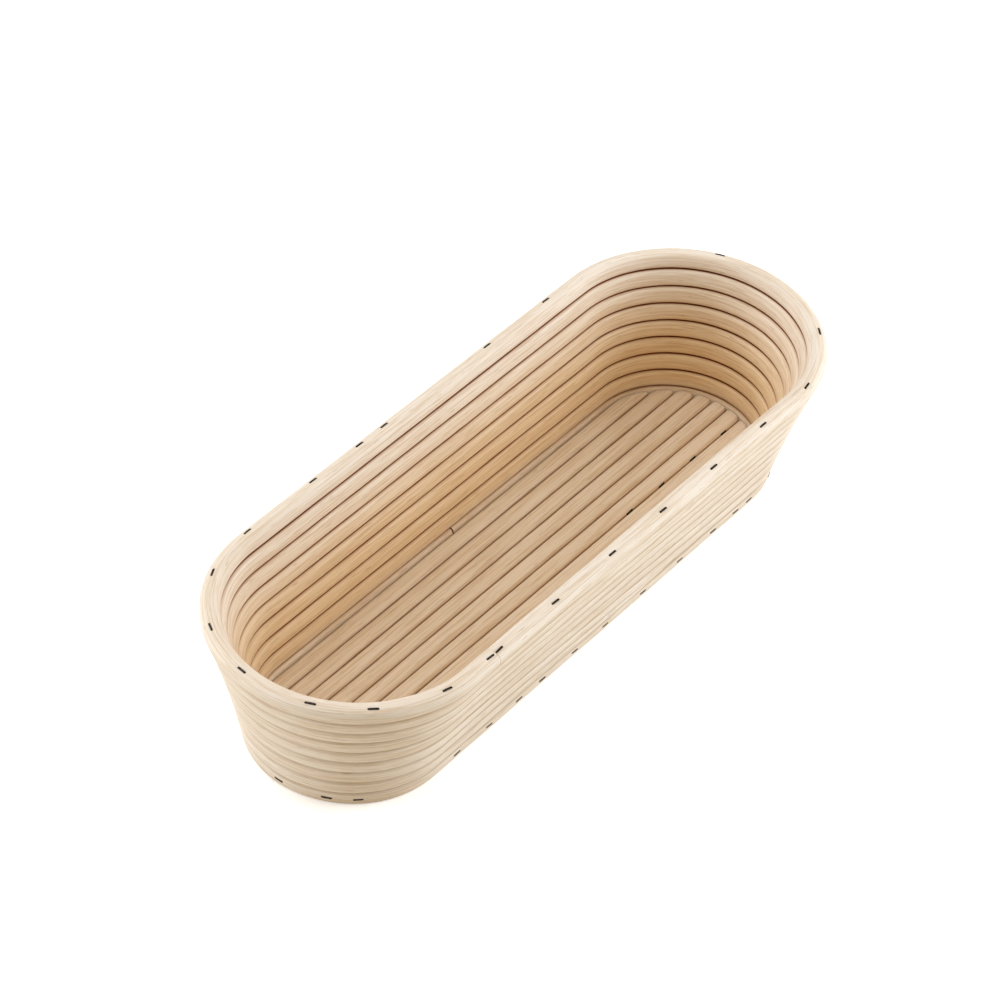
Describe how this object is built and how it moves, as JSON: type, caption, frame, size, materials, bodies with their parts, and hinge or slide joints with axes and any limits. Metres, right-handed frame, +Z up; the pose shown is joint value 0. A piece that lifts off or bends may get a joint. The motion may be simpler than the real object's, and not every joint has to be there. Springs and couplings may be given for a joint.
{
  "type": "proofing basket",
  "caption": "Long oval bread proofing basket: straight bottom canes in a base ring, a leaning wall wound from one cane and a rim cane, all held with wire staples.",
  "frame": {"origin": "middle of the footprint, on the surface that the basket stands on", "axes": "+X along the basket's length, +Y across it, +Z up out of the open top"},
  "size_m": [0.3784, 0.1354, 0.0772],
  "materials": {
    "rattan_cane": "bare peeled rattan, fine lengthwise fibres, satin",
    "staple_wire": "dark annealed wire, dull"
  },
  "bodies": {
    "root": {"base_ring_cane": "rattan_cane", "base_staple_01": "staple_wire", "base_staple_02": "staple_wire", "base_staple_03": "staple_wire", "base_staple_04": "staple_wire", "base_staple_05": "staple_wire", "base_staple_06": "staple_wire", "base_staple_07": "staple_wire", "base_staple_08": "staple_wire", "base_staple_09": "staple_wire", "base_staple_10": "staple_wire", "base_staple_11": "staple_wire", "base_staple_12": "staple_wire", "base_staple_13": "staple_wire", "base_staple_14": "staple_wire", "base_staple_15": "staple_wire", "base_staple_16": "staple_wire", "base_staple_17": "staple_wire", "base_staple_18": "staple_wire", "base_staple_19": "staple_wire", "bottom_cane_01": "rattan_cane", "bottom_cane_02": "rattan_cane", "bottom_cane_03": "rattan_cane", "bottom_cane_04": "rattan_cane", "bottom_cane_05": "rattan_cane", "bottom_cane_06": "rattan_cane", "bottom_cane_07": "rattan_cane", "bottom_cane_08": "rattan_cane", "bottom_cane_09": "rattan_cane", "bottom_staple_01": "staple_wire", "bottom_staple_02": "staple_wire", "bottom_staple_03": "staple_wire", "bottom_staple_04": "staple_wire", "rim_cane": "rattan_cane", "rim_staple_01": "staple_wire", "rim_staple_02": "staple_wire", "rim_staple_03": "staple_wire", "rim_staple_04": "staple_wire", "rim_staple_05": "staple_wire", "rim_staple_06": "staple_wire", "rim_staple_07": "staple_wire", "rim_staple_08": "staple_wire", "rim_staple_09": "staple_wire", "rim_staple_10": "staple_wire", "rim_staple_11": "staple_wire", "rim_staple_12": "staple_wire", "rim_staple_13": "staple_wire", "rim_staple_14": "staple_wire", "rim_staple_15": "staple_wire", "rim_staple_16": "staple_wire", "rim_staple_17": "staple_wire", "rim_staple_18": "staple_wire", "rim_staple_19": "staple_wire", "rim_staple_20": "staple_wire", "rim_staple_21": "staple_wire", "rim_staple_22": "staple_wire", "wall_cane_coil": "rattan_cane", "wall_staple_01": "staple_wire", "wall_staple_02": "staple_wire", "wall_staple_03": "staple_wire"}
  },
  "joints": []
}
